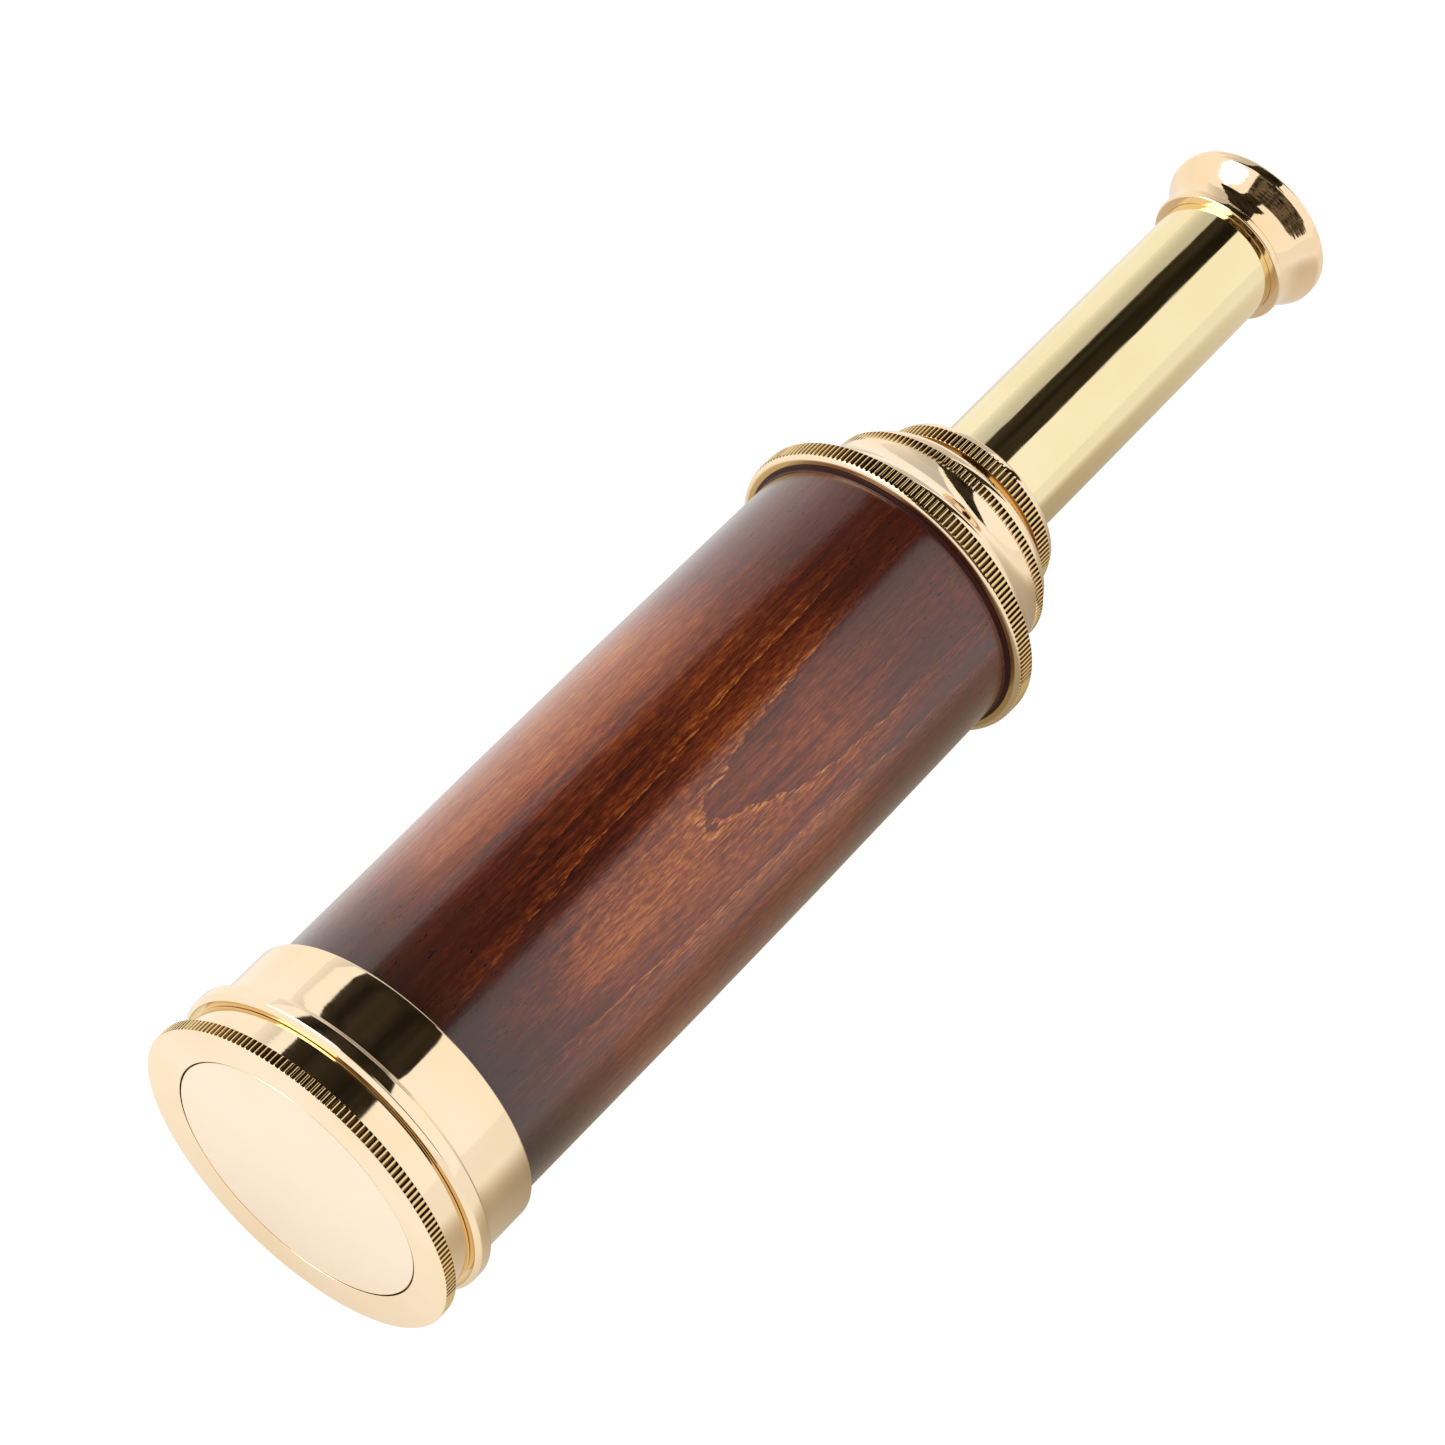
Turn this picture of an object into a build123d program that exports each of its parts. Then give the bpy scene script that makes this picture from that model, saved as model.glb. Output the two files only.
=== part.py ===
from build123d import *
from math import hypot, sqrt
import os

# Telescoping kaleidoscope of turned wood and brass, lying on its side.
# The optical axis is the Y axis, +Z is up. The origin is the centre of the dust cap's flat
# front face, and +Y runs towards the eyepiece. All sizes are millimetres.

# Driving dimensions ---------------------------------------------------------------------
FLANGE_R = 30.0            # dust cap flange, outside its knurl: the widest piece
WOOD_R = 26.5              # wooden barrel, which swells a little between its ends
WOOD_END_R = 26.2
WOOD_SWELL_START = 70.0
WOOD_SWELL_END = 100.0
WOOD_BORE_R = 23.0
TUBE_R = 11.5              # draw tube
TUBE_WALL = 0.8
WOOD_START = 14.4
WOOD_END = 146.0
COLLAR_TOP = 171.2         # flat end of the guide collar, where the draw tube comes out
CUP_START = 242.4          # front edge of the eyepiece cup, with the tube pulled out
CUP_END = 252.6

RUNNING_GAP = 0.05         # radial clearance of a turning or sliding fit
FREE_GAP = 0.3             # radial clearance where pieces only pass each other

# Dust cap
CAP_WEB = 1.6
FLANGE_THICKNESS = 2.2
DISC_R = 23.5
DISC_THICKNESS = 0.8
CAP_SKIRT_R = 28.1
CAP_SHOULDER = 7.55        # where the skirt steps down and seats on the ferrule
CAP_SPIGOT_R = 27.2
CAP_SPIGOT_END = 13.6
CAP_BORE_R = 26.0

# Front ferrule
MOUTH = 7.6
BEAD_R = 29.85
FERRULE_R = 28.0
FERRULE_END = 22.4

# Object cell
THUMB_RING_R = 25.6
THUMB_RING_START = 2.6
THUMB_RING_END = 13.5
CELL_BORE_R = 22.0
CELL_SPIGOT_R = 21.45
CELL_SPIGOT_BORE_R = 19.4
CELL_SPIGOT_END = 24.2
GLASS_THICKNESS = 1.8
CELL_LIP = 1.2             # depth of the retaining ring in front of the outer glass
CHAMBER_DEPTH = 4.8
CHAMBER_R = 20.4
SNAP_GROOVE_START = 22.2
SNAP_GROOVE_WIDTH = 1.0
SNAP_GROOVE_R = 20.9
CHIP_R = 2.0               # a glass chip fits in a circle of this radius
CHIP_PITCH = 4.7
CHIP_ROW_STEP = 4.2
CHIP_ROWS = 4

# Cell bearing
BUSH_END = 21.8
BUSH_FLANGE_R = 24.6
BUSH_FLANGE = 0.6

# Mirrors
MIRROR_TUBE_R = 10.3
MIRROR_TUBE_WALL = 0.4
MIRROR_START = 13.2
MIRROR_END = 163.0
MIRROR_INRADIUS = 4.6      # from the axis to each reflecting face
MIRROR_HALF_WIDTH = 7.8
MIRROR_THICKNESS = 1.2
PACKING_HALF_WIDTH = 3.6
PACKING_OUTER = 9.0
SUPPORT_THICKNESS = 4.0
SUPPORT_STARTS = {"mirror_front_support": 26.0, "mirror_rear_support": 58.0}

# Rear end ring, shoulder dome and guide collar
WOOD_BEAD_R = 27.0         # small bead turned on the wood in front of the end ring
WOOD_BEAD_START = 144.5
END_RING_START = 145.05
END_RING_R = 28.9
END_RING_END = 148.6
DOME_SPIGOT_START = 143.0
DOME_BASE_R = 25.6
DOME_RIM_R = 22.2
DOME_RIM_START = 158.7
DOME_RIM_END = 160.8
DOME_TOP = 164.4
COLLAR_R = 17.3
COLLAR_NECK_R = 15.2
COLLAR_KNURL_START = 166.6
SLEEVE_START = 141.7
SLEEVE_R = 13.0
SLEEVE_END = 166.0
FELT_START = 150.0
FELT_END = 156.0
FELT_R = 12.3

# Draw tube and its stop
TUBE_START = 138.0
TUBE_END = 247.0
STOP_GROOVE_START = 140.4
STOP_GROOVE_WIDTH = 1.2
STOP_GROOVE_R = 11.1
STOP_R = 13.6
STOP_THICKNESS = 1.0
STOP_SPLIT = 1.6

# Eyepiece
EYE_HOLE_R = 6.5
LENS_R = 10.6
LENS_START = 242.2
LENS_EDGE = 1.4
LENS_SAG = 1.8
RETAINER_THICKNESS = 2.0
RETAINER_BORE_R = 9.4
PUPIL_R = 5.0
STOP_SKIRT_START = 244.0
STOP_SKIRT_BORE_R = 9.6
DIAPHRAGM_THICKNESS = 0.8


def turned(outline):
    """Solid of revolution about the Y axis from corners (radius, y[, corner rounding])."""
    corners = [(corner[0], corner[1]) for corner in outline]
    roundings = [corner[2] if len(corner) > 2 else 0 for corner in outline]
    edge = FilletPolyline(*corners, radius=roundings, close=True)
    return revolve(make_face(edge), Axis.Y)


def ring(start, end, outer, inner, chamfer=0.0):
    """Plain ring about the Y axis, with its two outer edges broken by a chamfer."""
    if chamfer:
        return turned([
            (inner, start), (outer - chamfer, start), (outer, start + chamfer),
            (outer, end - chamfer), (outer - chamfer, end), (inner, end),
        ])
    return turned([(inner, start), (outer, start), (outer, end), (inner, end)])


def disc(start, end, radius):
    return turned([(0, start), (radius, start), (radius, end), (0, end)])


def place(x, y, z, turn=0.0):
    """Location at (x, y, z), turned by an angle in degrees about the Y direction."""
    return Location((x, y, z), (0, turn, 0))


# Dust cap ---------------------------------------------------------------------------------
def make_cap_ring():
    break_edge = 0.3
    ledge_r = DISC_R - 1.5
    return turned([
        (ledge_r, DISC_THICKNESS), (DISC_R, DISC_THICKNESS), (DISC_R, 0),
        (FLANGE_R - break_edge, 0), (FLANGE_R, break_edge),
        (FLANGE_R, FLANGE_THICKNESS - break_edge), (FLANGE_R - break_edge, FLANGE_THICKNESS),
        (CAP_SKIRT_R, FLANGE_THICKNESS), (CAP_SKIRT_R, CAP_SHOULDER),
        (CAP_SPIGOT_R, CAP_SHOULDER), (CAP_SPIGOT_R, CAP_SPIGOT_END),
        (CAP_BORE_R, CAP_SPIGOT_END), (CAP_BORE_R, CAP_WEB), (ledge_r, CAP_WEB),
    ])


def make_cap_disc():
    """Sheet disc pressed onto the ledge, flush with the flange, with a bevelled edge."""
    bevel = 0.25
    return turned([
        (0, 0), (DISC_R - 2 * bevel, 0), (DISC_R - bevel, bevel),
        (DISC_R - bevel, DISC_THICKNESS), (0, DISC_THICKNESS),
    ])


# Object cell ------------------------------------------------------------------------------
OUTER_GLASS_START = THUMB_RING_START + CELL_LIP
CHAMBER_START = OUTER_GLASS_START + GLASS_THICKNESS
CHAMBER_END = CHAMBER_START + CHAMBER_DEPTH
INNER_GLASS_END = CHAMBER_END + GLASS_THICKNESS


def make_cell_ring():
    """Thumb ring and spigot in one piece, with a groove for the snap ring."""
    groove_end = SNAP_GROOVE_START + SNAP_GROOVE_WIDTH
    return turned([
        (CELL_BORE_R, THUMB_RING_START), (THUMB_RING_R, THUMB_RING_START, 0.6),
        (THUMB_RING_R, THUMB_RING_END, 0.4), (CELL_SPIGOT_R, THUMB_RING_END),
        (CELL_SPIGOT_R, SNAP_GROOVE_START), (SNAP_GROOVE_R, SNAP_GROOVE_START),
        (SNAP_GROOVE_R, groove_end), (CELL_SPIGOT_R, groove_end),
        (CELL_SPIGOT_R, CELL_SPIGOT_END), (CELL_SPIGOT_BORE_R, CELL_SPIGOT_END),
        (CELL_SPIGOT_BORE_R, INNER_GLASS_END), (CELL_BORE_R, INNER_GLASS_END),
    ])


def make_split_ring(start, thickness, outer, inner, split):
    """Spring ring with a gap at its top."""
    gap_cutter = Pos(0, start + thickness / 2, (outer + inner) / 2) * Box(
        split, 3 * thickness, 2 * (outer - inner)
    )
    return ring(start, start + thickness, outer, inner) - gap_cutter


def make_glass_chip(index):
    """One loose piece: a three, four or six sided chip, a round bead or a short rod."""
    depth = CHAMBER_DEPTH - 1.2 - 0.4 * (index % 3)
    kind = index % 5
    if kind == 3:
        return Sphere(CHIP_R)
    if kind == 4:
        return Rot(90, 0, 0) * Cylinder(0.6 * CHIP_R, CHAMBER_DEPTH - 0.8)
    sides = {0: 3, 1: 4, 2: 6}[kind]
    outline = RegularPolygon(CHIP_R, sides)
    return Rot(90, 0, 0) * extrude(outline, depth / 2, both=True)


def chip_places():
    """Resting places in the bottom of the round chamber, packed in staggered rows."""
    places = []
    reach = CHAMBER_R - CHIP_R - 0.4
    for row in range(CHIP_ROWS):
        z = -reach + 0.6 + row * CHIP_ROW_STEP
        stagger = 0.5 * (row % 2)
        for step in range(-5, 6):
            x = (step + stagger) * CHIP_PITCH
            if hypot(x, z) <= reach:
                places.append((x, z))
    return places


def make_glass_chips():
    """Chips grouped by colour: one compound of separate solids for each colour."""
    colours = ["red", "amber", "green", "blue", "violet"]
    groups = {colour: [] for colour in colours}
    middle = (CHAMBER_START + CHAMBER_END) / 2
    golden_turn = 137.5
    for index, (x, z) in enumerate(chip_places()):
        colour = colours[(2 * index + index // 5) % len(colours)]
        chip = place(x, middle, z, golden_turn * index) * make_glass_chip(index)
        groups[colour] += chip.solids()
    return {f"glass_chips_{colour}": Compound(children=solids) for colour, solids in groups.items()}


# Barrel -----------------------------------------------------------------------------------
def make_front_ferrule():
    """Brass band round the front of the wood, with a beaded mouth that takes the dust cap."""
    mouth_r = CAP_SPIGOT_R + RUNNING_GAP
    return turned([
        (mouth_r, MOUTH), (29.1, MOUTH, 0.2), (BEAD_R, MOUTH + 0.75, 0.4),
        (BEAD_R, MOUTH + 2.9, 0.5), (FERRULE_R, MOUTH + 3.9, 0.3),
        (FERRULE_R, FERRULE_END, 0.5), (WOOD_END_R, FERRULE_END),
        (WOOD_END_R, WOOD_START), (mouth_r, WOOD_START),
    ])


def make_wood_barrel():
    return turned([
        (WOOD_BORE_R, WOOD_START), (WOOD_END_R, WOOD_START), (WOOD_END_R, FERRULE_END),
        (WOOD_R, WOOD_SWELL_START), (WOOD_R, WOOD_SWELL_END), (WOOD_END_R, WOOD_BEAD_START),
        (WOOD_BEAD_R, END_RING_START - 0.2), (WOOD_BEAD_R, END_RING_START),
        (WOOD_END_R, END_RING_START), (WOOD_END_R, WOOD_END), (WOOD_BORE_R, WOOD_END),
    ])


def make_cell_bearing_bush():
    bore = CELL_SPIGOT_R + RUNNING_GAP
    return turned([
        (bore, WOOD_START - BUSH_FLANGE), (BUSH_FLANGE_R, WOOD_START - BUSH_FLANGE),
        (BUSH_FLANGE_R, WOOD_START), (WOOD_BORE_R, WOOD_START),
        (WOOD_BORE_R, BUSH_END), (bore, BUSH_END),
    ])


def make_mirror():
    """One mirror strip, its reflecting face down towards the axis."""
    return Pos(
        0, (MIRROR_START + MIRROR_END) / 2, MIRROR_INRADIUS + MIRROR_THICKNESS / 2
    ) * Box(2 * MIRROR_HALF_WIDTH, MIRROR_END - MIRROR_START, MIRROR_THICKNESS)


def make_packing_strip():
    """Foam strip that fills the space between the back of a mirror and the mirror tube."""
    inner = MIRROR_INRADIUS + MIRROR_THICKNESS
    end_gap = 3.0
    return Pos(0, (MIRROR_START + MIRROR_END) / 2, (inner + PACKING_OUTER) / 2) * Box(
        2 * PACKING_HALF_WIDTH, MIRROR_END - MIRROR_START - 2 * end_gap, PACKING_OUTER - inner
    )


def make_end_ring():
    """Ring screwed over the rear end of the wood, with a flat lip and a plain web."""
    lip_bore = WOOD_END_R + 0.2
    return turned([
        (lip_bore, END_RING_START), (END_RING_R, END_RING_START, 1.1),
        (END_RING_R, END_RING_END, 0.2),
        (WOOD_BORE_R, END_RING_END), (WOOD_BORE_R, WOOD_END), (lip_bore, WOOD_END),
    ])


def make_shoulder_dome():
    """Hollow ogee cover, screwed through the end ring into the bore of the wood."""
    wall = 2.0
    step_r = DOME_RIM_R - 0.8
    return turned([
        (WOOD_BORE_R - wall, DOME_SPIGOT_START), (WOOD_BORE_R, DOME_SPIGOT_START),
        (WOOD_BORE_R, END_RING_END), (DOME_BASE_R, END_RING_END),
        (DOME_BASE_R, END_RING_END + 2.7, 2.5), (DOME_RIM_R + 0.3, 155.7, 9.0),
        (DOME_RIM_R, DOME_RIM_START), (DOME_RIM_R, DOME_RIM_END), (step_r, DOME_RIM_END),
        (step_r, DOME_TOP, 3.4), (SLEEVE_R, DOME_TOP),
        (SLEEVE_R, DOME_TOP - 3.2), (18.8, DOME_TOP - 3.2, 1.0),
        (WOOD_BORE_R - wall, 152.6, 1.0),
    ])


def make_guide_collar():
    """Knurled collar on a plain neck, with the hole that the draw tube comes out of."""
    lip_bore = TUBE_R + FREE_GAP
    return turned([
        (SLEEVE_R, DOME_TOP), (COLLAR_NECK_R, DOME_TOP),
        (COLLAR_NECK_R, COLLAR_KNURL_START, 0.3), (COLLAR_R, COLLAR_KNURL_START, 0.4),
        (COLLAR_R, COLLAR_TOP - 2.0, 0.4), (COLLAR_R - 0.6, COLLAR_TOP - 0.6, 0.8),
        (15.6, COLLAR_TOP, 0.5), (lip_bore, COLLAR_TOP),
        (lip_bore, SLEEVE_END), (SLEEVE_R, SLEEVE_END),
    ])


def make_guide_sleeve():
    bore = TUBE_R + RUNNING_GAP
    return turned([
        (bore, SLEEVE_START), (SLEEVE_R, SLEEVE_START), (SLEEVE_R, SLEEVE_END),
        (bore, SLEEVE_END), (bore, FELT_END), (FELT_R, FELT_END),
        (FELT_R, FELT_START), (bore, FELT_START),
    ])


# Draw tube --------------------------------------------------------------------------------
def make_draw_tube():
    """Thin tube with a shallow groove near its inner end for the stop ring."""
    bore = TUBE_R - TUBE_WALL
    groove_end = STOP_GROOVE_START + STOP_GROOVE_WIDTH
    return turned([
        (bore, TUBE_START), (TUBE_R, TUBE_START),
        (TUBE_R, STOP_GROOVE_START), (STOP_GROOVE_R, STOP_GROOVE_START),
        (STOP_GROOVE_R, groove_end), (TUBE_R, groove_end),
        (TUBE_R, TUBE_END), (bore, TUBE_END),
    ])


def make_eyepiece_cup():
    """Turned bell: a beaded socket over the tube's end, a neck, and a flared, rolled rim."""
    bead_r, neck_r, rim_r = 13.2, 12.9, 15.85
    return turned([
        (TUBE_R, CUP_START), (bead_r, CUP_START, 0.4), (bead_r, CUP_START + 1.2, 0.4),
        (neck_r, CUP_START + 1.5, 0.2), (neck_r, 246.4, 5.0), (rim_r, CUP_END - 1.9, 0.7),
        (rim_r, CUP_END, 0.6), (rim_r - 1.1, CUP_END, 0.4), (12.4, 249.2, 1.6),
        (EYE_HOLE_R, 248.4, 0.4), (EYE_HOLE_R, TUBE_END), (TUBE_R, TUBE_END),
    ])


def make_eye_lens():
    """Plano-convex lens, flat towards the mirrors."""
    edge_end = LENS_START + LENS_EDGE
    middle_r = LENS_R / 2
    curvature = (LENS_R ** 2 + LENS_SAG ** 2) / (2 * LENS_SAG)
    crown_drop = curvature - sqrt(curvature ** 2 - middle_r ** 2)
    outline = Polyline(
        (0, edge_end + LENS_SAG), (0, LENS_START), (LENS_R, LENS_START), (LENS_R, edge_end)
    ) + ThreePointArc(
        (LENS_R, edge_end), (middle_r, edge_end + LENS_SAG - crown_drop), (0, edge_end + LENS_SAG)
    )
    return revolve(make_face(outline), Axis.Y)


def make_eye_stop():
    """Blackened diaphragm with the peep-hole, and a skirt that bears on the lens's edge."""
    outer = TUBE_R - TUBE_WALL
    return turned([
        (PUPIL_R, TUBE_END - DIAPHRAGM_THICKNESS), (STOP_SKIRT_BORE_R, TUBE_END - DIAPHRAGM_THICKNESS),
        (STOP_SKIRT_BORE_R, STOP_SKIRT_START), (outer, STOP_SKIRT_START),
        (outer, TUBE_END), (PUPIL_R, TUBE_END),
    ])


# Assembly ---------------------------------------------------------------------------------
def build_dust_cap():
    return {"cap_ring": make_cap_ring(), "cap_disc": make_cap_disc()}


def build_object_cell():
    nodes = {
        "cell_ring": make_cell_ring(),
        "cell_retaining_ring": ring(THUMB_RING_START, OUTER_GLASS_START, CELL_BORE_R, CHAMBER_R),
        "cell_frosted_glass": disc(OUTER_GLASS_START, CHAMBER_START, CELL_BORE_R),
        "cell_spacer_ring": ring(CHAMBER_START, CHAMBER_END, CELL_BORE_R, CHAMBER_R),
        "cell_clear_glass": disc(CHAMBER_END, INNER_GLASS_END, CELL_BORE_R),
        "cell_snap_ring": make_split_ring(
            SNAP_GROOVE_START + 0.05, SNAP_GROOVE_WIDTH - 0.1, 22.6, SNAP_GROOVE_R, 4.0
        ),
    }
    nodes.update(make_glass_chips())
    return nodes


def build_barrel():
    nodes = {
        "wood_barrel": make_wood_barrel(),
        "front_ferrule": make_front_ferrule(),
        "cell_bearing_bush": make_cell_bearing_bush(),
        "mirror_tube": ring(
            MIRROR_START, MIRROR_END, MIRROR_TUBE_R, MIRROR_TUBE_R - MIRROR_TUBE_WALL
        ),
        "barrel_end_ring": make_end_ring(),
        "shoulder_dome": make_shoulder_dome(),
        "guide_collar": make_guide_collar(),
        "guide_sleeve": make_guide_sleeve(),
        "friction_felt": ring(FELT_START, FELT_END, FELT_R, TUBE_R + RUNNING_GAP),
    }
    for name, start in SUPPORT_STARTS.items():
        nodes[name] = ring(start, start + SUPPORT_THICKNESS, WOOD_BORE_R, MIRROR_TUBE_R)
    turns = {"mirror_top": 0, "mirror_right": 120, "mirror_left": 240}
    strips = []
    for name, turn in turns.items():
        nodes[name] = place(0, 0, 0, turn) * make_mirror()
        strips += (place(0, 0, 0, turn) * make_packing_strip()).solids()
    nodes["mirror_packing"] = Compound(children=strips)
    return nodes


def build_draw_tube():
    stop_start = STOP_GROOVE_START + (STOP_GROOVE_WIDTH - STOP_THICKNESS) / 2
    return {
        "tube_stop_ring": make_split_ring(
            stop_start, STOP_THICKNESS, STOP_R, STOP_GROOVE_R + RUNNING_GAP, STOP_SPLIT
        ),
        "draw_tube": make_draw_tube(),
        "eyepiece_cup": make_eyepiece_cup(),
        "eye_lens_retainer": ring(
            LENS_START - RETAINER_THICKNESS, LENS_START, TUBE_R - TUBE_WALL, RETAINER_BORE_R
        ),
        "eye_lens": make_eye_lens(),
        "eye_stop": make_eye_stop(),
    }


def main():
    os.makedirs("parts", exist_ok=True)
    nodes = {**build_dust_cap(), **build_object_cell(), **build_barrel(), **build_draw_tube()}
    for name, shape in nodes.items():
        export_step(shape, f"parts/{name}.step")
    print(len(nodes), "nodes written")


main()
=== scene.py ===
import math

import bmesh
import bpy
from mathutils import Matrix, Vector


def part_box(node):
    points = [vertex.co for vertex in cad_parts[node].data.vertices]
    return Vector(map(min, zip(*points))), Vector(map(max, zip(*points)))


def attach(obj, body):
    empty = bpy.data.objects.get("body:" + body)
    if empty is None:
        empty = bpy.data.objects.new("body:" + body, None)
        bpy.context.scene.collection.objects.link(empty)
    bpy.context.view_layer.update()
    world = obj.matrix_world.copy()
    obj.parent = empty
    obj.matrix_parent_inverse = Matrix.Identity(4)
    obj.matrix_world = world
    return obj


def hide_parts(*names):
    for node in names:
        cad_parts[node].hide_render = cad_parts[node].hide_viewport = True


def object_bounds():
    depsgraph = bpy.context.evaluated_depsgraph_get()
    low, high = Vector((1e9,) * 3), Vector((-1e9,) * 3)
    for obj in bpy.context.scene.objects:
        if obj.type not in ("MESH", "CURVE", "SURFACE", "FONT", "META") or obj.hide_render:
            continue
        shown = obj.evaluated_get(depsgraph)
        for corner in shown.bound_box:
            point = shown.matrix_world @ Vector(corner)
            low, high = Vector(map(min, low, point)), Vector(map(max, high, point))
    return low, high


# Looks of a brass and wood kaleidoscope that lies on its side. The optical axis is the Y axis,
# the dust cap's face is at y = 0 and the eyepiece is at the +Y end. Outlines are written in
# millimetres as (radius, y, corner rounding) and turned about the Y axis.

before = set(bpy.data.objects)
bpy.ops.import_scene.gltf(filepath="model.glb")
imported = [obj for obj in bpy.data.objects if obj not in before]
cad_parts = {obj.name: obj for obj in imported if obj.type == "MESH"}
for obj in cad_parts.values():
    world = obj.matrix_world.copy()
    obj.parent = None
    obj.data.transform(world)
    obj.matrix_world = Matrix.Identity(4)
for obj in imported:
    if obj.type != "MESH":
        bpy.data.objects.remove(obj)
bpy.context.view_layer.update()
MM = 0.001

WOOD_R = 26.5                  # wooden barrel, which swells a little between its ends
WOOD_END_R = 26.2
BARREL_BORE_R = 23.0
COLLAR_SLEEVE_R = 13.0         # guide collar's sleeve, inside the shoulder dome

SMOOTH_SEGMENTS = 288          # round the axis, on pieces without a knurl
TOOTH_HEIGHTS = (0.0, 0.0, 0.85, 1.0, 1.0, 0.85)       # one tooth: bottom 0, crest 1
TOOTH_PHASES = (0.0, 0.30, 0.42, 0.54, 0.76, 0.88)     # where on the tooth each height is
CREST_TARNISH = 0.28           # on a knurl's crest, and what each mm of depth adds
TARNISH_PER_MM = 1.5
FILLET_STEP_DEG = 12
NEARLY_STRAIGHT = math.radians(178)
SHARP_EDGE = math.radians(38)
ON_AXIS = 1e-6


def extent(node):
    """Lowest y, highest y and outer radius of a CAD node, in millimetres."""
    low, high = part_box(node)
    return low.y / MM, high.y / MM, high.x / MM


# Turned meshes ----------------------------------------------------------------------------
def arc_points(before, corner, after, rounding):
    """Points of the fillet that rounds a corner between two neighbours."""
    to_before = (before - corner).normalized()
    to_after = (after - corner).normalized()
    opening = to_before.angle(to_after)
    if opening > NEARLY_STRAIGHT:
        return [corner]
    reach = rounding / math.tan(opening / 2)
    start = corner + to_before * reach
    end = corner + to_after * reach
    bisector = (to_before + to_after).normalized()
    centre = corner + bisector * (rounding / math.sin(opening / 2))
    turn = math.pi - opening
    steps = max(2, math.ceil(math.degrees(turn) / FILLET_STEP_DEG))
    first = start - centre
    side = 1 if first.x * (end - centre).y - first.y * (end - centre).x > 0 else -1
    points = []
    for step in range(steps + 1):
        angle = side * turn * step / steps
        points.append(centre + Vector((
            first.x * math.cos(angle) - first.y * math.sin(angle),
            first.x * math.sin(angle) + first.y * math.cos(angle),
        )))
    return points


def rounded_outline(corners, longest=2.0, least_rounding=0.06):
    """Closed outline as (radius, y) points: corners rounded, long straights divided."""
    vectors = [Vector(corner[:2]) for corner in corners]
    outline = []
    for index, corner in enumerate(corners):
        here = vectors[index]
        before = vectors[index - 1]
        after = vectors[(index + 1) % len(corners)]
        rounding = corner[2] if len(corner) > 2 else least_rounding
        outline += [here] if here.x < ON_AXIS else arc_points(before, here, after, rounding)
    divided = []
    for index, here in enumerate(outline):
        after = outline[(index + 1) % len(outline)]
        divided.append(here)
        both_on_axis = max(here.x, after.x) < ON_AXIS
        pieces = 1 if both_on_axis else math.ceil((after - here).length / longest)
        divided += [here.lerp(after, step / pieces) for step in range(1, pieces)]
    return divided


def ring_angles(teeth):
    """Angles round the axis with the tooth height at each, which is 1 without a knurl."""
    if not teeth:
        return [(2 * math.pi * step / SMOOTH_SEGMENTS, 1.0) for step in range(SMOOTH_SEGMENTS)]
    return [
        (2 * math.pi * (tooth + phase) / teeth, height)
        for tooth in range(teeth)
        for phase, height in zip(TOOTH_PHASES, TOOTH_HEIGHTS)
    ]


def turned(name, corners, knurl=None, longest=2.0, painted_gap_shade=(0, -1, 0, -1, 0)):
    """Mesh turned about the Y axis.

    knurl is (teeth, start y, end y, radius, depth). The last argument is painted shade in a gap
    or at an edge between parts, kept with the knurl's tarnish: (low radius, high radius, low y,
    high y, shade from 0 to 1).
    """
    outline = rounded_outline(corners, longest)
    teeth, start, end, outer, depth = knurl or (0, 0, -1, 0, 1)
    gap_low, gap_high, gap_start, gap_end, gap_painted_shade = painted_gap_shade
    angles = ring_angles(teeth)
    vertices, tarnish_and_shade, rings = [], [], []
    for point in outline:
        if point.x < ON_AXIS:
            rings.append([len(vertices)])
            vertices.append((0, point.y * MM, 0))
            tarnish_and_shade.append(0.0)
            continue
        rings.append(range(len(vertices), len(vertices) + len(angles)))
        in_knurl = start <= point.y <= end and point.x > outer - depth
        in_gap = gap_low <= point.x <= gap_high and gap_start <= point.y <= gap_end
        for angle, height in angles:
            # Painted shade in a gap between parts, or tarnish in a knurl's groove, in one attribute.
            radius, here = point.x, gap_painted_shade * in_gap
            if in_knurl:
                radius = min(radius, outer - depth * (1 - height))
                here = CREST_TARNISH + TARNISH_PER_MM * (outer - radius)
            tarnish_and_shade.append(min(1.0, here))
            across, up = radius * math.sin(angle), radius * math.cos(angle)
            vertices.append((across * MM, point.y * MM, up * MM))
    faces = []
    for index, ring in enumerate(rings):
        faces += ring_faces(ring, rings[(index + 1) % len(rings)])
    return finished_mesh(name, vertices, faces, tarnish_and_shade)


def ring_faces(ring, following):
    """Faces between two rings of vertices; a ring of one vertex is a point on the axis."""
    count = max(len(ring), len(following))
    if count == 1:
        return []
    faces = []
    for step in range(count):
        after = (step + 1) % count
        if len(ring) == 1:
            faces.append((ring[0], following[after], following[step]))
        elif len(following) == 1:
            faces.append((ring[step], ring[after], following[0]))
        else:
            faces.append((ring[step], ring[after], following[after], following[step]))
    return faces


def finished_mesh(name, vertices, faces, tarnish_and_shade):
    """Smooth-shaded object whose vertices carry their knurl tarnish and painted gap shade."""
    mesh = bpy.data.meshes.new(name)
    mesh.from_pydata(vertices, [], faces)
    attribute = mesh.attributes.new("tarnish_and_shade", "FLOAT", "POINT")
    attribute.data.foreach_set("value", tarnish_and_shade)
    work = bmesh.new()
    work.from_mesh(mesh)
    bmesh.ops.recalc_face_normals(work, faces=work.faces)
    work.to_mesh(mesh)
    work.free()
    mesh.shade_smooth()
    mesh.set_sharp_from_angle(angle=SHARP_EDGE)
    piece = bpy.data.objects.new(name, mesh)
    bpy.context.scene.collection.objects.link(piece)
    return piece


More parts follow.
